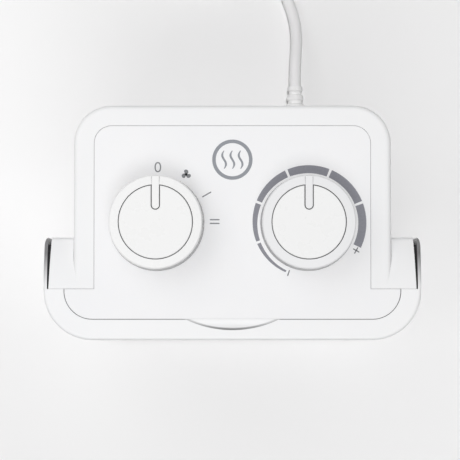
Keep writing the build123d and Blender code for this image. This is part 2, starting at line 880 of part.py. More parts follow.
def element_levels():
    """Heights of the middle of each ceramic bar and of each fin row."""
    low = fan_height - element_height / 2
    step = bar_height + fin_height
    fins = [low + fin_height / 2 + index * step for index in range(bar_count + 1)]
    bars = [low + fin_height + bar_height / 2 + index * step for index in range(bar_count)]
    return bars, fins


def element_frame():
    """Heat-proof frame round the bars and fins."""
    width = bar_length + 2 * element_rim
    height = element_height + 2 * element_rim
    y_low = guide_y - element_depth
    frame = wall_panel(width, height, element_corner, fan_height, y_low, guide_y)
    frame -= wall_panel(
        bar_length + 2 * fit_gap, element_height + 2 * fit_gap, element_pocket_corner, fan_height,
        y_low - cut_past, guide_y - element_inset)
    frame -= wall_panel(
        bar_length - 2 * bar_ledge, element_height - 2 * fin_ledge, element_window_corner, fan_height,
        y_low - cut_past, guide_y + cut_past)
    return frame


def ceramic_bars():
    """Aluminium tubes that hold the ceramic tiles."""
    bars, fins = element_levels()
    y_low = guide_y - element_depth + bar_set_back
    solids = []
    for z in bars:
        bar = box(
            -bar_length / 2, bar_length / 2, y_low, guide_y - element_inset,
            z - bar_height / 2, z + bar_height / 2)
        solids.append(fillet(bar.edges().filter_by(Axis.X), bar_height * bar_round))
    return Compound(solids)


def radiator_fins():
    """Rows of thin fins between the bars."""
    bars, fins = element_levels()
    count = int((bar_length - 2 * fin_thickness) / fin_pitch)
    depth = element_depth - element_inset - fin_set_back
    hole = Rectangle(fin_pitch - fin_thickness, fin_height - 2 * fin_thickness)
    holes = GridLocations(fin_pitch, 1, count, 1) * hole
    row = Rectangle(count * fin_pitch + fin_thickness, fin_height) - Sketch(children=holes)
    row = Rot(90, 0, 0) * extrude(row, depth)
    return Compound([Pos(0, guide_y - element_inset, z) * row for z in fins])


def thermal_cutout():
    """Bimetal disc cut-out on top of the element frame."""
    z = fan_height + element_height / 2 + element_rim
    y = guide_y - element_depth / 2
    body = rod_z(cutout_x, y, z, z + cutout_thickness, cutout_diameter - cutout_step)
    return body + rod_z(cutout_x, y, z, z + cutout_base, cutout_diameter)


def thermal_fuse():
    """Thermal fuse in its sleeve on top of the element frame."""
    z = fan_height + element_height / 2 + element_rim + fuse_diameter / 2
    y = guide_y - element_depth / 2
    fuse = Rot(0, 90, 0) * Cylinder(fuse_diameter / 2, fuse_length)
    return Pos(fuse_x, y, z) * fuse


def tip_over_switch():
    """Switch box on the base plate, bored for its plunger."""
    y = rear_y - tip_switch_from_rear
    body = Pos(tip_switch_x, y, shell_bottom + tip_switch_height / 2) * Box(
        tip_switch_width, tip_switch_depth, tip_switch_height)
    body = fillet(body.edges().filter_by(Axis.Z), tip_switch_corner)
    return body - rod_z(
        tip_switch_x, y, shell_bottom - cut_past, plunger_lift + plunger_length + plunger_room,
        plunger_diameter + 2 * shaft_fit)


def tip_over_plunger():
    """Plunger that the floor holds up while the heater stands."""
    y = rear_y - tip_switch_from_rear
    plunger = rod_z(tip_switch_x, y, plunger_lift, plunger_lift + plunger_length, plunger_diameter)
    return chamfer(plunger.edges().sort_by(Axis.Z)[0], plunger_edge)


def terminal_block():
    """Block on the base plate where the mains lead ends."""
    y = rear_y - block_from_rear
    top = cord_height + cord_diameter / 2 + block_cover
    block = Pos(cord_x, y, (shell_bottom + top) / 2) * Box(block_width, block_depth, top - shell_bottom)
    for index in range(block_hole_count):
        x = cord_x + (index - (block_hole_count - 1) / 2) * block_hole_pitch
        block -= rod_z(x, y, top - block_hole_depth, top + cut_past, block_hole)
    return block


def inner_lead():
    """Mains lead between the strain relief and the terminal block."""
    inner = rear_y - shell_wall - relief_flange_thickness
    return rod_y(cord_x, cord_height, rear_y - block_from_rear + block_depth / 2, inner, cord_diameter)


def strain_relief():
    """Tapered, ringed sleeve where the cord leaves the rear wall."""
    inner = rear_y - shell_wall - relief_flange_thickness
    points = [
        (0, 0), (relief_flange / 2, 0), (relief_flange / 2, relief_flange_thickness),
        (relief_root / 2, relief_flange_thickness)]
    start = relief_flange_thickness + shell_wall + relief_collar
    length = relief_length + shell_wall + relief_flange_thickness
    pitch = (length - start) / relief_ring_count
    for index in range(relief_ring_count):
        low = start + index * pitch
        share = index / (relief_ring_count - 1)
        radius = (relief_root + (relief_tip - relief_root) * share) / 2
        groove = radius - ring_depth
        points += [
            (radius, low), (groove, low + ring_fall), (groove, low + ring_floor),
            (radius - ring_bevel, low + ring_rise)]
    points += [(relief_tip / 2 - tip_bevel, length), (0, length), (0, 0)]
    body = revolve(Plane.XZ * make_face(Polyline(*points)), Axis.Z)
    return Pos(cord_x, inner, cord_height) * (Rot(-90, 0, 0) * body)


def cord_path(points):
    """Straight runs joined by arcs as large as the runs allow; also returns the radii."""
    radii = []
    for before, here, after in zip(points, points[1:], points[2:]):
        turn = math.radians((Vector(*here) - Vector(*before)).get_angle(Vector(*after) - Vector(*here)))
        shorter = min(math.dist(before, here), math.dist(here, after))
        radii.append(arc_share * shorter / math.tan(turn / 2))
    return FilletPolyline(*points, radius=radii), radii


def cord_tube(points):
    """Round tube along a route; prints its radii, and its volume against section times length."""
    path, radii = cord_path(points)
    start = Plane(origin=path @ 0, z_dir=path % 0)
    tube = sweep(start * Circle(cord_diameter / 2), path=path)
    expected = math.pi * cord_diameter ** 2 / 4 * path.length
    print("cord radii", [round(radius, 1) for radius in radii], "length", round(path.length, 1))
    print("cord volume ratio", round(tube.volume / expected, 4))
    return tube


def coil_centre():
    """Middle of the coil; the free cord meets its outer turn on the right."""
    return cord_x + coil_step[0] - coil_inner - turns_in * coil_pitch, cord_exit_y + coil_step[1]


def coil_point(turn):
    """Place on the coil's centre line after a number of turns."""
    centre_x, centre_y = coil_centre()
    if turn < turns_in:
        radius = coil_inner + coil_pitch * (turns_in - turn)
        height = coil_low
    elif turn < turns_in + turns_climb:
        share = (turn - turns_in) / turns_climb
        radius = coil_inner - coil_pitch * turns_climb * (share - share ** 2)
        height = coil_low + coil_pitch * (3 * share ** 2 - 2 * share ** 3)
    else:
        radius = coil_inner + coil_pitch * (turn - turns_in - turns_climb)
        height = coil_high
    angle = 2 * math.pi * turn
    return Vector(centre_x + radius * math.cos(angle), centre_y + radius * math.sin(angle), height)


def coil_heading(turn):
    """Direction of the coil's centre line after a number of turns."""
    step = 0.0005
    low = max(0.0, turn - step)
    high = min(coil_turns, turn + step)
    return (coil_point(high) - coil_point(low)).normalized()


def free_route():
    """Points of the free cord; the last two are in line with the coil's straight lead."""
    lead = coil_point(0) - coil_heading(0) * cord_diameter
    points = [(cord_x + x, cord_exit_y + y, z) for x, y, z in cord_steps]
    return points + [tuple(lead - coil_heading(0) * coil_run), tuple(lead)]


def biarc(start, start_heading, end, end_heading):
    """Two arcs that join two points with given headings."""
    chord = end - start
    total = start_heading + end_heading
    spread = 2 * (1 - start_heading.dot(end_heading))
    along = chord.dot(total)
    reach = (-along + math.sqrt(along ** 2 + spread * chord.dot(chord))) / spread
    joint = (start + start_heading * reach + end - end_heading * reach) * 0.5
    heading = (end - end_heading * reach - start - start_heading * reach).normalized()
    return [Edge.make_tangent_arc(start, start_heading, joint), Edge.make_tangent_arc(joint, heading, end)]


def cord_coil():
    """Put-away turns of the cord: in along the floor, up a layer, and out again."""
    quarters = int(round(coil_turns * 4))
    stops = [index / 4 for index in range(quarters + 1)]
    lead_in = coil_point(0) - coil_heading(0) * cord_diameter
    lead_out = coil_point(coil_turns) + coil_heading(coil_turns) * cord_diameter
    edges = [Edge.make_line(lead_in, coil_point(0))]
    for low, high in zip(stops, stops[1:]):
        edges += biarc(coil_point(low), coil_heading(low), coil_point(high), coil_heading(high))
    edges.append(Edge.make_line(coil_point(coil_turns), lead_out))
    path = Wire(edges)
    start = Plane(origin=lead_in, z_dir=coil_heading(0))
    tube = sweep(start * Circle(cord_diameter / 2), path=path)
    print("coil length", round(path.length, 1), "volume ratio",
          round(tube.volume / (math.pi * cord_diameter ** 2 / 4 * path.length), 4))
    print("coil least gap to itself", round(least_gap(path), 2))
    return tube


def least_gap(path):
    """Least clear distance between two stretches of the coil's surface."""
    count = 700
    points = [path.position_at(index / count) for index in range(count + 1)]
    skip = int(count * 3 * cord_diameter / path.length)
    least = min(
        (points[low] - points[high]).length
        for low in range(0, count + 1, 2) for high in range(low + skip, count + 1))
    return least - cord_diameter


def tail_route():
    """Points of the short free end between the coil and the plug."""
    start = coil_point(coil_turns) + coil_heading(coil_turns) * cord_diameter
    heading = coil_heading(coil_turns)
    outward = Vector(-heading.Y, heading.X, 0) * -1
    offsets = [(0.0, 0.0), (0.34, 0.0), (0.67, 0.05), (1.0, 0.15)]
    points = [
        start + heading * (along * tail_length) + outward * (out * tail_length) for along, out in offsets]
    return [tuple(point) for point in points]


def plug_frame():
    """Place of the plug's cable entry, with local X pointing away from the cord."""
    points = tail_route()
    heading = (Vector(*points[-1]) - Vector(*points[-2])).normalized()
    return Plane(origin=points[-1], x_dir=heading, z_dir=(0, 0, 1))


def plug_body():
    """Flat moulded plug that lies on the floor beside the coil."""
    neck = plug_neck / 2
    half = plug_width / 2
    shape = [
        (0, neck), (plug_length * plug_neck_end, neck + plug_neck_flare),
        (plug_length * plug_flare_end, half), (plug_length, half)]
    outline = Polygon(*shape, *[(x, -y) for x, y in reversed(shape)], align=None)
    columns = outline.vertices().group_by(Axis.X)
    outline = fillet(columns[1] + columns[2], plug_shoulder)
    outline = fillet(outline.vertices().group_by(Axis.X)[-1], plug_edge)
    body = extrude(outline, coil_high - plug_off_floor, both=True)
    body = fillet(body.faces().filter_by(Axis.Z).edges(), plug_edge / 2)
    return plug_frame().location * body


def plug_pins():
    """Two round contact pins."""
    pins = []
    for side in (-1, 1):
        pin = Rot(0, 90, 0) * Cylinder(
            pin_diameter / 2, pin_length, align=(Align.CENTER, Align.CENTER, Align.MIN))
        pin = chamfer(pin.edges().sort_by(Axis.X)[-1], pin_edge)
        pins.append(plug_frame().location * Pos(plug_length, side * pin_spacing / 2, 0) * pin)
    return Compound(pins)


def cord_tie():
    """Flat band round the turns of the coil."""
    centre_x, centre_y = coil_centre()
    half = tie_width / 2
    places = []
    for index in range(int(coil_turns * 360)):
        point = coil_point(index / 360)
        across = math.atan2(point.Y - centre_y, point.X - centre_x)
        radius = math.hypot(point.X - centre_x, point.Y - centre_y)
        turn = across - math.radians(tie_angle)
        turn = (turn + math.pi) % (2 * math.pi) - math.pi
        if abs(radius * math.sin(turn)) <= half + tie_gap and math.cos(turn) > 0:
            places.append(radius * math.cos(turn))
    low = min(places) - cord_diameter / 2 - tie_gap
    high = max(places) + cord_diameter / 2 + tie_gap
    top = coil_high + cord_diameter / 2 + tie_gap
    bottom = coil_lift - tie_gap
    middle = Pos((low + high) / 2, (bottom + top) / 2)
    inner = middle * RectangleRounded(high - low, top - bottom, tie_corner)
    outer = middle * RectangleRounded(
        high - low + 2 * tie_thickness, top - bottom + 2 * tie_thickness, tie_corner + tie_thickness)
    band = Rot(90, 0, 0) * extrude(outer - inner, half, both=True)
    return Pos(centre_x, centre_y, 0) * (Rot(0, 0, tie_angle) * band)


def screw(head_height, length):
    """Screw pointing down, with its head's underside at zero and a cross recess."""
    body = Cylinder(screw_head / 2, head_height, align=(Align.CENTER, Align.CENTER, Align.MIN))
    body = chamfer(body.edges().sort_by(Axis.Z)[-1], head_height * head_bevel)
    body += Cylinder(
        screw_diameter / 2 - thread_depth, length, align=(Align.CENTER, Align.CENTER, Align.MAX))
    for angle in (0, 90):
        slot = Box(screw_head * cross_reach, cross_width, head_height)
        body -= Rot(0, 0, angle) * (Pos(0, 0, head_height) * slot)
    return body


def shell_screws():
    """Four long-reach screws at the bottom of the rear shell's posts."""
    one = Rot(-90, 0, 0) * screw(screw_head_height, screw_length - screw_end_gap)
    return Compound([Pos(x, post_end_y + post_floor, z) * one for x, z in screw_places()])


def base_screws():
    """Four screws up through the base plate."""
    one = Rot(180, 0, 0) * screw(low_head_height, base_screw_length)
    return Compound([Pos(x, y, foot_height + low_head_height) * one for x, y in base_screw_places()])


def motor_screws():
    """Two screws that hold the motor to its bracket."""
    one = Rot(90, 0, 0) * screw(screw_head_height, bracket_thickness + motor_screw_bite)
    return Compound([Pos(x, duct_end_y, fan_height) * one for x in (-motor_cap / 2, motor_cap / 2)])


def dust_filter():
    """Framed filter pad behind the rear grille."""
    width = rear_window_width + 2 * filter_overlap
    height = rear_window_height + 2 * filter_overlap
    y_high = rear_y - shell_wall - flange_thickness
    y_low = y_high - filter_thickness
    web = (filter_thickness - filter_web) / 2
    pad = wall_panel(width, height, rear_window_corner, fan_height, y_low, y_high)
    cut_width = width - 2 * filter_rim
    cut_height = height - 2 * filter_rim
    pad -= wall_panel(cut_width, cut_height, filter_corner, fan_height, y_low - cut_past, y_low + web)
    pad -= wall_panel(cut_width, cut_height, filter_corner, fan_height, y_high - web, y_high + cut_past)
    return pad


def build():
    """Every node by name."""
    left = -knob_spacing / 2
    right = knob_spacing / 2
    tail = tail_route()
    return {
        "front_frame": front_frame(),
        "front_grille": front_grille(),
        "rear_shell": rear_shell(),
        "rear_grille": rear_grille(),
        "dust_filter": dust_filter(),
        "left_side_intake": side_intake(-1),
        "right_side_intake": side_intake(1),
        "top_plate": top_plate(),
        "mode_knob": knob(left),
        "mode_knob_cap": knob_cap(left),
        "mode_switch_shaft": control_shaft(left),
        "mode_switch": mode_switch(),
        "thermostat_knob": knob(right),
        "thermostat_knob_cap": knob_cap(right),
        "thermostat_shaft": control_shaft(right),
        "thermostat": thermostat(),
        "terminal_tabs": terminal_tabs(),
        "base_plate": base_plate(),
        "rubber_feet": rubber_feet(),
        "air_guide": air_guide(),
        "motor_bracket": motor_bracket(),
        "fan_motor": fan_motor(),
        "motor_shaft": motor_shaft(),
        "fan_impeller": fan_impeller(),
        "impeller_nut": impeller_nut(),
        "element_frame": element_frame(),
        "ceramic_bars": ceramic_bars(),
        "radiator_fins": radiator_fins(),
        "thermal_cutout": thermal_cutout(),
        "thermal_fuse": thermal_fuse(),
        "tip_over_switch": tip_over_switch(),
        "tip_over_plunger": tip_over_plunger(),
        "terminal_block": terminal_block(),
        "inner_lead": inner_lead(),
        "strain_relief": strain_relief(),
        "power_cord": cord_tube(free_route()),
        "cord_coil": cord_coil(),
        "cord_tail": cord_tube(tail),
        "cord_tie": cord_tie(),
        "plug_body": plug_body(),
        "plug_pins": plug_pins(),
        "shell_screws": shell_screws(),
        "base_screws": base_screws(),
        "motor_screws": motor_screws(),
    }


os.makedirs("parts", exist_ok=True)
for name, solid in build().items():
    export_step(solid, f"parts/{name}.step")
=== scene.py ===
"""Looks of an upright ceramic fan heater: white mouldings, printed marks, a pale cord.

Metres, +Z up, front towards -Y. Sizes that are easier to read in millimetres are turned into metres by mm().
"""
import math

import bmesh
import bpy
from mathutils import Matrix, Vector


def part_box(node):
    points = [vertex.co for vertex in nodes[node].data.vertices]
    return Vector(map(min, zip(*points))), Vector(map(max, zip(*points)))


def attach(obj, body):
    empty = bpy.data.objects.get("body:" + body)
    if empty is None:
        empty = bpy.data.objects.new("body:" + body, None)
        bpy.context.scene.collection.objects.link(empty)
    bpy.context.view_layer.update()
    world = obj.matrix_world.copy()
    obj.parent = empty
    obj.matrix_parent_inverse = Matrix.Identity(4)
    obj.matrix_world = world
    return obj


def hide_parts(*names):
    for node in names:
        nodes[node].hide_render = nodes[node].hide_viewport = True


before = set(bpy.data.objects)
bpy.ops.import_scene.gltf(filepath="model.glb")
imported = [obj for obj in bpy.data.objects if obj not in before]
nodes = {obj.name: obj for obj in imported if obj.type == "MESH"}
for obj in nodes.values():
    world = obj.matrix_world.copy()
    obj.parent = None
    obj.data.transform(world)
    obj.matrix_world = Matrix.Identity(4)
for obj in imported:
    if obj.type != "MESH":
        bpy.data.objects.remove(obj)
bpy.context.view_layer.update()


def mm(*values):
    """Millimetres to metres; one value gives a number, more give a tuple."""
    scaled = tuple(value / 1000 for value in values)
    return scaled[0] if len(scaled) == 1 else scaled


def middle(node):
    """X and Y of the middle of a node's box."""
    low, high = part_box(node)
    return (low.x + high.x) / 2, (low.y + high.y) / 2


def beside(place, x, y):
    """A point x and y millimetres away from a place."""
    return place[0] + mm(x), place[1] + mm(y)


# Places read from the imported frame
plate_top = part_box("top_plate")[1].z
left_knob = middle("mode_knob")
right_knob = middle("thermostat_knob")
parting_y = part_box("rear_shell")[0].y

# Rim, and the finger scoop in its front, as in the part's source
rim_front = mm(10.7)
scoop_width, scoop_reach = mm(47.8, 5.6)
scoop_radius = ((scoop_width / 2) ** 2 + scoop_reach ** 2) / (2 * scoop_reach)
plate_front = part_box("front_frame")[0].y + rim_front
scoop_centre_y = plate_front + scoop_radius - scoop_reach


# Materials

# Share of open sky at which a groove has its full shade, and at which it has none
shut_in, open_sky = 0.42, 0.92
sky_samples = 12
# Z of the normal of a wall and of a flat face, and the same for the rounded tips of the side skins
upright, lying = 0.15, 0.7
tip_side, tip_top = 0.1, 0.35

# Mouldings: size of the clouds in the tone, of the uneven gloss and of the flow ripple; the gloss's limits
cloud_mm, gloss_mm, flow_mm = 60.0, 9.0, 22.0
flow_scale = (1.0, 0.6, 1.4)
smoother, rougher = 0.9, 1.12

# Specks: their size, the noise at which they start and end, and their tone against the shade
speck_mm, speck_start, speck_end, speck_tone = 1.6, 0.62, 0.72, 0.8

# Metals: size of the clouds and of the grain, the grain's height in millimetres, and the polish's limits
metal_cloud_mm, metal_grain_mm, metal_grain_height = 7.0, 0.5, 0.006
polished, dull = 0.8, 1.25

# Inks: size of the uneven cover, its height in millimetres, and the roughness it gives
cover_mm, cover_height = 0.9, 0.006
cover_smooth, cover_rough = 0.42, 0.58


class Shader:
    """One material round a Principled shader, with small helpers that add nodes and link them."""

    def __init__(self, name):
        self.material = bpy.data.materials.new(name)
        self.material.use_nodes = True
        self.tree = self.material.node_tree
        self.tree.nodes.clear()
        self.out = self.add("ShaderNodeOutputMaterial")
        self.bsdf = self.add("ShaderNodeBsdfPrincipled")
        self.link(self.bsdf, "BSDF", self.out, "Surface")
        self.coords = self.add("ShaderNodeTexCoord")

    def add(self, kind, **values):
        """New node; each value goes to the socket of its name, or else to the setting of its name."""
        node = self.tree.nodes.new(kind)
        for key, value in values.items():
            if key in node.inputs:
                node.inputs[key].default_value = value
            else:
                setattr(node, key, value)
        return node

    def link(self, source, output, target, socket):
        self.tree.links.new(source.outputs[output], target.inputs[socket])

    def noise(self, size_mm, detail=2.0, roughness=0.5, scale=(1, 1, 1)):
        """Noise that stays with the object; a scale over 1 makes it finer along that axis."""
        mapping = self.add("ShaderNodeMapping", Scale=scale)
        self.link(self.coords, "Object", mapping, "Vector")
        noise = self.add("ShaderNodeTexNoise", Scale=1000.0 / size_mm, Detail=detail, Roughness=roughness)
        self.link(mapping, "Vector", noise, "Vector")
        return noise

    def axes(self, output):
        """X, Y and Z of the object's own coordinates ("Object") or of its faces' directions ("Normal")."""
        axes = self.add("ShaderNodeSeparateXYZ")
        self.link(self.coords, output, axes, "Vector")
        return axes

    def spread(self, source, output, low, high, start=0.3, end=0.7):
        """Value that goes from low to high while the source goes from start to end."""
        spread = self.add("ShaderNodeMapRange")
        for key, value in (("From Min", start), ("From Max", end), ("To Min", low), ("To Max", high)):
            spread.inputs[key].default_value = value
        self.link(source, output, spread, "Value")
        return spread

    def product(self, *sources):
        """Product of the first outputs of some nodes."""
        result = sources[0]
        for source in sources[1:]:
            both = self.add("ShaderNodeMath", operation="MULTIPLY")
            self.link(result, 0, both, 0)
            self.link(source, 0, both, 1)
            result = both
        return result

    def blend(self, first, second, share):
        """Tone that goes from the first to the second as the share goes to 1; each is a colour or a node."""
        mix = self.add("ShaderNodeMix", data_type="RGBA")
        for socket, tone in (("A", first), ("B", second)):
            if isinstance(tone, tuple):
                mix.inputs[socket].default_value = (*tone, 1)
            else:
                self.link(tone, "Result", mix, socket)
        self.link(share, 0, mix, "Factor")
        return mix

    def painted_crevice_shade(self, tone, reach_mm, shade, wall_share=1.0):
        """Painted shade from ambient occlusion: darker tone in grooves and against close walls; a wall share
        under 1 paints shade on upright faces too.
        """
        sky = self.add("ShaderNodeAmbientOcclusion", samples=sky_samples, Distance=reach_mm / 1000)
        clear = self.spread(sky, "AO", 0.0, 1.0, shut_in, open_sky)
        flat = self.spread(self.axes("Normal"), "Z", wall_share, 1.0, upright, lying)
        return self.blend(shade, tone, self.product(clear, flat))

    def painted_skin_tip_shade(self, tone, shade):
        """Painted shade on the thin rear tips of the side skins, fading out towards the front."""
        strongest = 0.92
        start, end = parting_y + mm(1.0), parting_y + mm(18.0)
        rearward = self.spread(self.axes("Object"), "Y", 0.0, strongest, start, end)
        upward = self.spread(self.axes("Normal"), "Z", 0.0, 1.0, tip_side, tip_top)
        return self.blend(tone, shade, self.product(rearward, upward))

    def painted_scoop_shade(self, tone, shade):
        """Painted shade where the finger scoop's floor meets the rim: a dark band just inside the scoop's
        arc.
        """
        place = self.axes("Object")
        level = self.add("ShaderNodeCombineXYZ")
        self.link(place, "X", level, "X")
        self.link(place, "Y", level, "Y")
        away = self.add("ShaderNodeVectorMath", operation="DISTANCE")
        self.link(level, "Vector", away, 0)
        away.inputs[1].default_value = (0, scoop_centre_y, 0)
        strongest = 0.9
        starts = self.spread(away, "Value", 0.0, strongest, scoop_radius - mm(1.3), scoop_radius - mm(0.4))
        ends = self.spread(away, "Value", 1.0, 0.0, scoop_radius + mm(0.02), scoop_radius + mm(0.12))
        in_front = self.spread(place, "Y", 1.0, 0.0, plate_front - mm(0.05), plate_front + mm(0.15))
        on_top = self.spread(place, "Z", 0.0, 1.0, plate_top - mm(6.0), plate_top - mm(5.0))
        return self.blend(tone, shade, self.product(starts, ends, in_front, on_top))

    def bump(self, source, output, height_mm, under=None):
        """Relief from a height; it lies on top of the relief of another bump if one is given."""
        bump = self.add("ShaderNodeBump", Strength=1.0, Distance=height_mm / 1000)
        self.link(source, output, bump, "Height")
        if under:
            self.link(under, "Normal", bump, "Normal")
        return bump

    def finish(self, tone, roughness, relief):
        """Links tone, roughness and relief to the shader and gives the material."""
        self.link(tone, "Result", self.bsdf, "Base Color")
        self.link(roughness, "Result", self.bsdf, "Roughness")
        self.link(relief, "Normal", self.bsdf, "Normal")
        return self.material


def moulded(name, colour, shade, roughness, grain_mm=0.7, grain_height=0.012, specular=0.5, subsurface=0.0,
            flow_height=0.0, speck=0.0, painted_crevice_shade=None, tip_shade=None, scoop_shade=None):
    """Injection-moulded plastic: cloudy tone, eroded grain, long flow ripple and uneven gloss.

    Heights are in millimetres. Painted shade in grooves, against close walls and on upright faces is given
    by a reach in millimetres, a shade and, for knobs, a wall share.
    """
    shader = Shader(name)
    cloud = shader.noise(cloud_mm, detail=3.0)
    tone = shader.blend(colour, shade, shader.spread(cloud, "Fac", 0.0, 1.0))
    if speck:
        dots = shader.spread(
            shader.noise(speck_mm, detail=1.0), "Fac", 0.0, speck, speck_start, speck_end)
        tone = shader.blend(tone, tuple(value * speck_tone for value in shade), dots)
    # Painted shade in grooves, seams and on walls, not a colour of the plastic
    if painted_crevice_shade:
        tone = shader.painted_crevice_shade(tone, *painted_crevice_shade)
    # Painted shade on the side skins' rear tips
    if tip_shade:
        tone = shader.painted_skin_tip_shade(tone, tip_shade)
    # Painted shade along the finger scoop's arc
    if scoop_shade:
        tone = shader.painted_scoop_shade(tone, scoop_shade)
    gloss = shader.noise(gloss_mm, detail=4.0, roughness=0.6)
    gloss = shader.spread(gloss, "Fac", roughness * smoother, roughness * rougher)
    grain = shader.noise(grain_mm, detail=3.0, roughness=0.65)
    relief = shader.bump(grain, "Fac", grain_height)
    if flow_height:
        flow = shader.noise(flow_mm, detail=1.0, scale=flow_scale)
        relief = shader.bump(flow, "Fac", flow_height, under=relief)
    shader.bsdf.inputs["Specular IOR Level"].default_value = specular
    if subsurface:
        shader.bsdf.inputs["Subsurface Weight"].default_value = subsurface
        shader.bsdf.inputs["Subsurface Radius"].default_value = mm(1.2, 1.1, 1.0)
        shader.bsdf.inputs["Subsurface Scale"].default_value = 1.0
    return shader.finish(tone, gloss, relief)


def metal(name, colour, shade, roughness, scale=(1, 1, 1)):
    """Plated or bare metal with drawn grain and uneven polish."""
    shader = Shader(name)
    cloud = shader.noise(metal_cloud_mm, detail=4.0)
    tone = shader.blend(colour, shade, shader.spread(cloud, "Fac", 0.0, 1.0))
    grain = shader.noise(metal_grain_mm, scale=scale)
    polish = shader.spread(grain, "Fac", roughness * polished, roughness * dull)
    shader.bsdf.inputs["Metallic"].default_value = 1.0
    return shader.finish(tone, polish, shader.bump(grain, "Fac", metal_grain_height))


def ink(name, colour, shade):
    """Pad-printed ink with slightly uneven cover."""
    shader = Shader(name)
    cover = shader.noise(cover_mm, detail=4.0, roughness=0.7)
    tone = shader.blend(colour, shade, shader.spread(cover, "Fac", 0.0, 1.0))
    gloss = shader.spread(cover, "Fac", cover_smooth, cover_rough)
    return shader.finish(tone, gloss, shader.bump(cover, "Fac", cover_height))


# Colours of painted shade, and how far from a knob it reaches: darkening painted into grooves and seams, and
# onto the knobs' upright sides
knob_painted_shade = (0.10, 0.10, 0.105)
shell_painted_shade = (0.2, 0.2, 0.205)
knob_shade_reach_mm = 16.0

# White mouldings
housing_white = moulded(
    "housing_white", (0.866, 0.866, 0.87), (0.85, 0.852, 0.861), 0.38, grain_mm=0.6, grain_height=0.012,
    subsurface=0.05, painted_crevice_shade=(0.8, shell_painted_shade))
frame_white = moulded(
    "frame_white", (0.886, 0.886, 0.89), (0.868, 0.87, 0.879), 0.38, grain_mm=0.6, grain_height=0.012,
    subsurface=0.05, painted_crevice_shade=(1.2, shell_painted_shade), tip_shade=(0.17, 0.17, 0.175),
    scoop_shade=(0.52, 0.52, 0.525))
plate_white = moulded(
    "plate_white", (0.879, 0.876, 0.883), (0.859, 0.861, 0.873), 0.32, grain_mm=1.1, grain_height=0.005,
    flow_height=0.05, subsurface=0.05)
# The knob whites' wall share paints shade on the knobs' upright sides, darkest at their foot
knob_white = moulded(
    "knob_white", (0.87, 0.87, 0.868), (0.865, 0.866, 0.866), 0.28, grain_mm=0.9, grain_height=0.004,
    flow_height=0.02, painted_crevice_shade=(knob_shade_reach_mm, knob_painted_shade, 0.36))
# Darker copy of the knob white for the thermostat knob's ring: painted shade, the plastic is the same
shaded_ring_white = moulded(
    "shaded_ring_white", (0.82, 0.82, 0.83), (0.80, 0.803, 0.81), 0.3, grain_mm=0.9, grain_height=0.004,
    flow_height=0.03, painted_crevice_shade=(knob_shade_reach_mm, knob_painted_shade, 0.38))
base_white = moulded(
    "base_white", (0.78, 0.78, 0.785), (0.74, 0.74, 0.75), 0.5, grain_mm=0.8, grain_height=0.03)

# Cord, relief and plug
relief_white = moulded(
    "relief_white", (0.90, 0.895, 0.895), (0.88, 0.875, 0.875), 0.55, grain_mm=0.8, grain_height=0.02,
    specular=0.35)
cord_white = moulded(
    "cord_white", (0.87, 0.864, 0.868), (0.84, 0.834, 0.838), 0.48, grain_mm=0.9, grain_height=0.015,
    specular=0.4)
plug_white = moulded("plug_white", (0.82, 0.82, 0.82), (0.78, 0.78, 0.785), 0.42, grain_height=0.02)
tie_black = moulded(
    "tie_black", (0.03, 0.03, 0.032), (0.045, 0.045, 0.047), 0.6, grain_mm=0.5, grain_height=0.04)

# Dark and coloured mouldings, rubber and ceramic
dark_plastic = moulded(
    "dark_plastic", (0.022, 0.022, 0.024), (0.035, 0.035, 0.038), 0.45, grain_mm=0.5, grain_height=0.02)
switch_black = moulded("switch_black", (0.03, 0.03, 0.032), (0.05, 0.05, 0.052), 0.5)
filter_black = moulded(
    "filter_black", (0.045, 0.045, 0.048), (0.07, 0.07, 0.073), 0.8, grain_mm=1.2, grain_height=0.25)
foot_rubber = moulded(
    "foot_rubber", (0.03, 0.03, 0.032), (0.05, 0.05, 0.052), 0.75, grain_mm=0.6, grain_height=0.05,
    specular=0.3)
nylon_grey = moulded("nylon_grey", (0.72, 0.72, 0.70), (0.65, 0.65, 0.63), 0.4)
plunger_red = moulded("plunger_red", (0.5, 0.05, 0.035), (0.42, 0.04, 0.03), 0.42)
element_cream = moulded(
    "element_cream", (0.62, 0.55, 0.40), (0.52, 0.45, 0.31), 0.6, grain_mm=0.8, grain_height=0.03,
    speck=0.5)
ceramic_white = moulded(
    "ceramic_white", (0.76, 0.73, 0.66), (0.70, 0.67, 0.60), 0.7, grain_mm=0.5, grain_height=0.02, speck=0.4)

# Metals
plated_steel = metal("plated_steel", (0.60, 0.60, 0.61), (0.50, 0.50, 0.52), 0.32, scale=(1, 8, 1))
screw_steel = metal("screw_steel", (0.46, 0.46, 0.47), (0.38, 0.38, 0.40), 0.38)
motor_steel = metal("motor_steel", (0.20, 0.20, 0.21), (0.15, 0.15, 0.16), 0.42)
bare_aluminium = metal("bare_aluminium", (0.74, 0.74, 0.75), (0.66, 0.66, 0.68), 0.30, scale=(1, 1, 10))
plated_brass = metal("plated_brass", (0.66, 0.50, 0.24), (0.56, 0.42, 0.20), 0.30)

# Printing inks
scale_ink = ink("scale_ink", (0.232, 0.232, 0.262), (0.272, 0.275, 0.305))
mark_ink = ink("mark_ink", (0.20, 0.205, 0.215), (0.25, 0.255, 0.265))
badge_ink = ink("badge_ink", (0.262, 0.275, 0.302), (0.305, 0.318, 0.342))

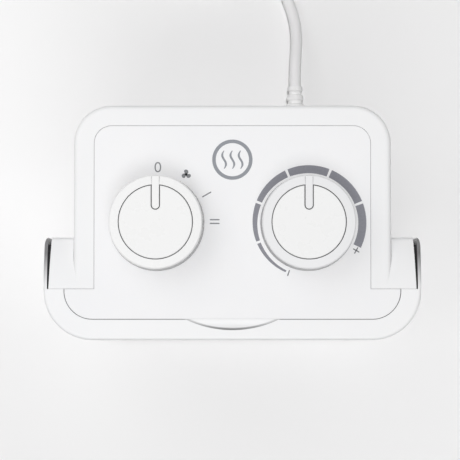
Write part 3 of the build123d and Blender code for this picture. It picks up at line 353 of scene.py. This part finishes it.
worn_by = (
    (frame_white, "front_frame"),
    (housing_white, "rear_shell", "rear_grille"),
    (plate_white, "top_plate"),
    (knob_white, "mode_knob", "mode_knob_cap", "thermostat_knob_cap"),
    (shaded_ring_white, "thermostat_knob"),
    (base_white, "base_plate"),
    (dark_plastic, "front_grille", "left_side_intake", "right_side_intake"),
    (filter_black, "dust_filter"),
    (nylon_grey, "mode_switch_shaft"),
    (switch_black, "mode_switch", "air_guide", "fan_impeller", "tip_over_switch"),
    (plunger_red, "tip_over_plunger"),
    (ceramic_white, "thermostat", "thermal_fuse"),
    (element_cream, "element_frame", "terminal_block"),
    (bare_aluminium, "ceramic_bars", "radiator_fins"),
    (plated_steel, "thermostat_shaft", "motor_bracket", "motor_shaft", "thermal_cutout"),
    (motor_steel, "fan_motor"),
    (screw_steel, "shell_screws", "base_screws", "motor_screws"),
    (plated_brass, "terminal_tabs", "impeller_nut", "plug_pins"),
    (foot_rubber, "rubber_feet"),
    (cord_white, "inner_lead"),
    (relief_white, "strain_relief"),
    (tie_black, "cord_tie"),
    (plug_white, "plug_body"),
)
for material, *names in worn_by:
    for name in names:
        mesh = nodes[name].data
        mesh.materials.clear()
        mesh.materials.append(material)


# Cord

cord_radius = mm(3.5)
coil_inner, coil_pitch = mm(29.5, 7.7)
turns_in, turns_climb, turns_out = 2.5, 0.5, 2.25
points_per_turn = 24
coil_low, coil_high = mm(4.6, 12.3)
coil_start = mm(32.0, 200.0)
coil_centre = Vector((coil_start[0] - coil_inner - turns_in * coil_pitch, coil_start[1], 0))
lead_gap = mm(16)
tail_length = mm(32.0)
# Shares of the tail's length, along it and out of the coil
tail_bend = ((0.0, 0.0), (0.34, 0.0), (0.67, 0.05), (1.0, 0.15))
free_route = [
    mm(37.0, 89.7, 18.0), mm(37.0, 103.0, 18.0), mm(38.4, 119.0, 13.4),
    mm(36.6, 134.0, 7.4), mm(31.0, 148.0, 4.4), mm(29.6, 162.0, 4.3),
]


def coil_point(turn):
    """Place on the coil's centre line after a number of turns."""
    if turn < turns_in:
        radius = coil_inner + coil_pitch * (turns_in - turn)
        height = coil_low
    elif turn < turns_in + turns_climb:
        share = (turn - turns_in) / turns_climb
        radius = coil_inner - coil_pitch * turns_climb * (share - share ** 2)
        height = coil_low + (coil_high - coil_low) * (3 * share ** 2 - 2 * share ** 3)
    else:
        radius = coil_inner + coil_pitch * (turn - turns_in - turns_climb)
        height = coil_high
    angle = 2 * math.pi * turn
    return coil_centre + Vector((radius * math.cos(angle), radius * math.sin(angle), height))


def cord_points():
    """Points of the whole cord: free part, coil, and the short end at the plug."""
    total = turns_in + turns_climb + turns_out
    short_turn = 0.0005
    first_way = (coil_point(short_turn) - coil_point(0)).normalized()
    last_way = (coil_point(total) - coil_point(total - short_turn)).normalized()
    lead = coil_point(0) - first_way * 2 * cord_radius
    points = [Vector(point) for point in free_route] + [lead - first_way * lead_gap, lead]
    points += [coil_point(index / points_per_turn) for index in range(int(total * points_per_turn) + 1)]
    start = coil_point(total) + last_way * 2 * cord_radius
    outward = Vector((last_way.y, -last_way.x, 0))
    for along, out in tail_bend:
        points.append(start + last_way * along * tail_length + outward * out * tail_length)
    return points


def make_cord():
    """The whole cord as one NURBS line."""
    curve = bpy.data.curves.new("mains_cord", "CURVE")
    curve.dimensions = "3D"
    spline = curve.splines.new("NURBS")
    points = cord_points()
    spline.points.add(len(points) - 1)
    for slot, point in zip(spline.points, points):
        slot.co = (*point, 1)
    spline.order_u = 3
    spline.use_endpoint_u = True
    curve.resolution_u = 5
    curve.bevel_depth = cord_radius
    curve.bevel_resolution = 5
    curve.use_fill_caps = True
    curve.materials.append(cord_white)
    cord = bpy.data.objects.new("mains_cord", curve)
    bpy.context.scene.collection.objects.link(cord)
    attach(cord, "housing")
    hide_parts("power_cord", "cord_coil", "cord_tail")


# Outlines of the printed marks

ink_height = mm(0.03)


def pairs(loop):
    """Each index of a closed loop with the one after it."""
    return [(index, (index + 1) % len(loop)) for index in range(len(loop))]


def print_mark(name, outlines, material):
    """Thin printed film on the plate. An outline is a list of X and Y, or a pair of lists for a ring."""
    film = bmesh.new()
    for outline in outlines:
        ring = isinstance(outline, tuple)
        rows = []
        for loop in outline if ring else (outline,):
            low = [film.verts.new((x, y, plate_top)) for x, y in loop]
            high = [film.verts.new((x, y, plate_top + ink_height)) for x, y in loop]
            rows.append((low, high))
        for low, high in rows:
            for index, after in pairs(low):
                film.faces.new((low[index], low[after], high[after], high[index]))
        if ring:
            (low, high), (hole_low, hole_high) = rows
            for index, after in pairs(low):
                film.faces.new((high[index], high[after], hole_high[after], hole_high[index]))
                film.faces.new((low[index], hole_low[index], hole_low[after], low[after]))
        else:
            film.faces.new(rows[0][1])
            film.faces.new(list(reversed(rows[0][0])))
    bmesh.ops.recalc_face_normals(film, faces=film.faces)
    mesh = bpy.data.meshes.new(name)
    film.to_mesh(mesh)
    film.free()
    mesh.materials.append(material)
    piece = bpy.data.objects.new(name, mesh)
    bpy.context.scene.collection.objects.link(piece)
    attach(piece, "housing")


def ellipse(x, y, half_width, half_height, count=48, power=2.0):
    """Closed outline of an oval; a power over 2 makes it squarer."""
    points = []
    for index in range(count):
        angle = 2 * math.pi * index / count
        across, along = math.cos(angle), math.sin(angle)
        points.append((
            x + half_width * math.copysign(abs(across) ** (2 / power), across),
            y + half_height * math.copysign(abs(along) ** (2 / power), along)))
    return points


def bar(start, end, width):
    """Closed outline of a straight bar with rounded ends."""
    (x0, y0), (x1, y1) = start, end
    way = math.atan2(y1 - y0, x1 - x0)
    end_steps = 6
    points = []
    for centre, turn in (((x1, y1), -math.pi / 2), ((x0, y0), math.pi / 2)):
        for index in range(end_steps + 1):
            angle = way + turn + math.pi * index / end_steps
            points.append((centre[0] + width / 2 * math.cos(angle), centre[1] + width / 2 * math.sin(angle)))
    return points


def clock(centre, radius, degrees):
    """Point round a centre, in degrees clockwise from the rear."""
    angle = math.radians(degrees)
    return centre[0] + radius * math.sin(angle), centre[1] + radius * math.cos(angle)


def arc_band(centre, start, end, inner, outer):
    """Closed outline of a curved band; inner and outer give the radius at an angle."""
    steps = 24
    angles = [start + (end - start) * index / steps for index in range(steps + 1)]
    points = [clock(centre, outer(angle), angle) for angle in angles]
    points += [clock(centre, inner(angle), angle) for angle in reversed(angles)]
    return points


def fan_blade(centre, turn):
    """Comma-shaped blade of the fan sign."""
    shape = [
        (-0.35, -0.2), (-0.55, 0.6), (-0.95, 1.05), (-1.15, 1.7), (-0.85, 2.25), (-0.2, 2.5), (0.55, 2.35),
        (1.05, 1.85), (1.15, 1.2), (0.85, 0.5), (0.4, -0.15)]
    angle = math.radians(turn)
    return [(
        centre[0] + mm(x * math.cos(angle) - y * math.sin(angle)),
        centre[1] + mm(x * math.sin(angle) + y * math.cos(angle))) for x, y in shape]


def wave(x, y_low, y_high, sway, width):
    """Closed outline of one rising S-shaped line with narrower ends."""
    left, right = [], []
    steps = 24
    end_share, end_growth = 0.35, 3
    for index in range(steps + 1):
        share = index / steps
        y = y_low + (y_high - y_low) * share
        centre_x = x + sway * math.sin(2 * math.pi * share)
        slope = sway * 2 * math.pi * math.cos(2 * math.pi * share) / (y_high - y_low)
        size = math.hypot(1, slope)
        half = width / 2 * min(1.0, end_share + end_growth * min(share, 1 - share))
        left.append((centre_x - half / size, y + half * slope / size))
        right.append((centre_x + half / size, y - half * slope / size))
    return left + list(reversed(right))


# Marks round the mode knob, in millimetres from its axis

off_place = (0.6, 28.5)
off_outside, off_inside = mm(1.68, 2.6), mm(1.05, 1.98)
fan_place = (15.0, 24.8)
fan_hub = mm(0.6)
half_heat_ends = (23.4, 13.4), (27.5, 15.75)
full_heat_reach = 27.3, 31.7
full_heat_levels = -0.15, 1.75
mode_stroke = mm(0.62)


def mode_marks():
    """Off, fan only, half and full heat, 30 degrees apart round the left knob."""
    off = beside(left_knob, *off_place)
    print_mark("mark_off", [
        (ellipse(*off, *off_outside, power=2.3), ellipse(*off, *off_inside, power=2.2))], mark_ink)
    fan = beside(left_knob, *fan_place)
    blades = [fan_blade(fan, turn) for turn in (0, 120, 240)]
    print_mark("mark_fan", blades + [ellipse(*fan, fan_hub, fan_hub, 20)], mark_ink)
    start, end = (beside(left_knob, *place) for place in half_heat_ends)
    print_mark("mark_half_heat", [bar(start, end, mode_stroke)], mark_ink)
    near, far = full_heat_reach
    print_mark("mark_full_heat", [
        bar(beside(left_knob, near, level), beside(left_knob, far, level), mode_stroke)
        for level in full_heat_levels], mark_ink)


# Scale round the thermostat knob: angles in degrees, places and radii in millimetres from the knob's axis

scale_middle = (0.2, 0.1)
scale_stops = (-155, -111, -67.8, -22.8, 22.6, 69.0, 115.5)
scale_gap = 1.3
scale_growth = 145
inner_start, inner_shrinks = 26.6, 1.3
outer_start, outer_grows = 27.65, 1.75
less_ends = (-9.55, -24.1), (-10.4, -26.6)
more_place = (24.4, -13.9)
more_arm = mm(1.55)
scale_stroke = mm(0.6)


def full_share(angle):
    """Nought at the scale's start, one where it has its full width."""
    return min(1.0, max(0.0, (angle - scale_stops[0]) / scale_growth))


def scale_inner(angle):
    """Radius of the scale's inner edge."""
    return mm(inner_start - inner_shrinks * full_share(angle))


def scale_outer(angle):
    """Radius of the scale's outer edge."""
    return mm(outer_start + outer_grows * full_share(angle))


def heat_scale():
    """Wedge-shaped scale in six bands, with a minus at its start and a plus at its end."""
    centre = beside(right_knob, *scale_middle)
    bands = []
    for start, end in zip(scale_stops, scale_stops[1:]):
        first_gap = 0 if start == scale_stops[0] else scale_gap
        last_gap = 0 if end == scale_stops[-1] else scale_gap
        bands.append(arc_band(centre, start + first_gap, end - last_gap, scale_inner, scale_outer))
    print_mark("heat_scale", bands, scale_ink)
    start, end = (beside(right_knob, *place) for place in less_ends)
    print_mark("mark_less", [bar(start, end, scale_stroke)], mark_ink)
    plus = beside(right_knob, *more_place)
    print_mark("mark_more", [
        bar(clock(plus, -more_arm, turn), clock(plus, more_arm, turn), scale_stroke)
        for turn in (120, 30)], mark_ink)


# Badge behind the knobs

badge_from_knobs = mm(32.3)
badge_outside, badge_inside = mm(10.25, 8.45)
wave_places = mm(-4.2, 0, 4.2)
wave_rise, wave_sway, wave_width = mm(4.6, 0.95, 1.05)


def badge():
    """Plain ring with three rising waves of warm air."""
    y = left_knob[1] + badge_from_knobs
    print_mark("badge_ring", [
        tuple(ellipse(0.0, y, radius, radius, 96) for radius in (badge_outside, badge_inside))], badge_ink)
    print_mark("badge_waves", [
        wave(x, y - wave_rise, y + wave_rise, wave_sway, wave_width) for x in wave_places], badge_ink)


# Floor, light and camera

floor_reach = 6.0
floor_drop = mm(0.2)
# Half the width over which the floor's painted light and shade changes, and where its rear tone, with a
# painted shadow behind the housing, ends and its front tone starts
painted_falloff_half_width = 0.14
painted_shadow_rear_y, painted_light_front_y = 0.02, -0.06
surroundings = 0.09
lamp_target = (0, 0, 0.1)
camera_place, camera_target = mm(3.9, -43.4, 1419), mm(-1.2, -3.8, 235)
lens_mm, sensor_mm = 182.5, 36


def stage():
    """Pale seamless floor with painted light and shade in its tone: lightest in front on the right, and
    least light behind on the right, a painted shadow of the housing.
    """
    shader = Shader("studio_floor")
    place = shader.axes("Object")
    across = shader.spread(place, "X", 0.0, 1.0, -painted_falloff_half_width, painted_falloff_half_width)
    # Painted light and shade in the floor's tone: behind, darker on the right, a painted shadow of the
    # housing; in front, lighter on the right
    rear = shader.blend((0.885, 0.882, 0.883), (0.834, 0.831, 0.832), across)
    front = shader.blend((0.84, 0.837, 0.838), (0.93, 0.927, 0.928), across)
    tone = shader.blend(rear, front, shader.spread(place, "Y", 0.0, 1.0, painted_shadow_rear_y, painted_light_front_y))
    shader.link(tone, "Result", shader.bsdf, "Base Color")
    shader.bsdf.inputs["Roughness"].default_value = 0.6
    shader.bsdf.inputs["Specular IOR Level"].default_value = 0.25
    mesh = bpy.data.meshes.new("studio_floor")
    sweep = bmesh.new()
    bmesh.ops.create_grid(sweep, x_segments=8, y_segments=8, size=floor_reach)
    sweep.to_mesh(mesh)
    sweep.free()
    mesh.materials.append(shader.material)
    floor = bpy.data.objects.new("studio_floor", mesh)
    floor.location.z = -floor_drop
    bpy.context.scene.collection.objects.link(floor)


def aimed(name, data, place, target, in_gloss):
    """Light at a place, pointing at a target; one that is left out of gloss gives no highlight."""
    light = bpy.data.objects.new(name, data)
    light.location = place
    light.rotation_mode = "QUATERNION"
    light.rotation_quaternion = (Vector(target) - Vector(place)).to_track_quat("-Z", "Y")
    light.visible_glossy = in_gloss
    bpy.context.scene.collection.objects.link(light)


def soft_light(name, place, size, power):
    """Square soft light without a highlight, aimed at the housing."""
    data = bpy.data.lights.new(name, "AREA")
    data.size = size
    data.energy = power
    aimed(name, data, place, lamp_target, in_gloss=False)


def far_light(name, place, strength, spread_degrees, in_gloss=True):
    """Distant light from the direction of a place, as wide as the angle says."""
    data = bpy.data.lights.new(name, "SUN")
    data.energy = strength
    data.angle = math.radians(spread_degrees)
    aimed(name, data, place, (0, 0, 0), in_gloss)


def studio():
    """Faint surroundings, a strong light overhead, a weaker one in front and soft ones on the left."""
    world = bpy.data.worlds.new("studio")
    bpy.context.scene.world = world
    world.use_nodes = True
    background = world.node_tree.nodes["Background"]
    background.inputs["Color"].default_value = (1.0, 1.0, 1.0, 1)
    background.inputs["Strength"].default_value = surroundings
    far_light("overhead", (0, 0, 2.0), strength=1.92, spread_degrees=3, in_gloss=False)
    far_light("front", (0, -1.0, 2.0), strength=0.61, spread_degrees=28)
    soft_light("left_high", (-0.4, 0, 0.9), size=0.5, power=0.6)
    soft_light("left_low", (-0.6, 0.1, 0.65), size=0.4, power=0.1)
    soft_light("rear_left", (-0.45, 0.5, 1.0), size=0.7, power=1.5)


def camera():
    """Camera straight above, as far away as the photograph's perspective shows."""
    place, target = Vector(camera_place), Vector(camera_target)
    data = bpy.data.cameras.new("camera")
    data.lens = lens_mm
    data.sensor_width = sensor_mm
    eye = bpy.data.objects.new("camera", data)
    back = (place - target).normalized()
    right = Vector((0, 1, 0)).cross(back).normalized()
    up = back.cross(right)
    eye.matrix_world = Matrix((right, up, back)).transposed().to_4x4()
    eye.location = place
    bpy.context.scene.collection.objects.link(eye)
    bpy.context.scene.camera = eye


make_cord()
mode_marks()
heat_scale()
badge()
stage()
studio()
camera()
bpy.context.scene.view_settings.view_transform = "Standard"
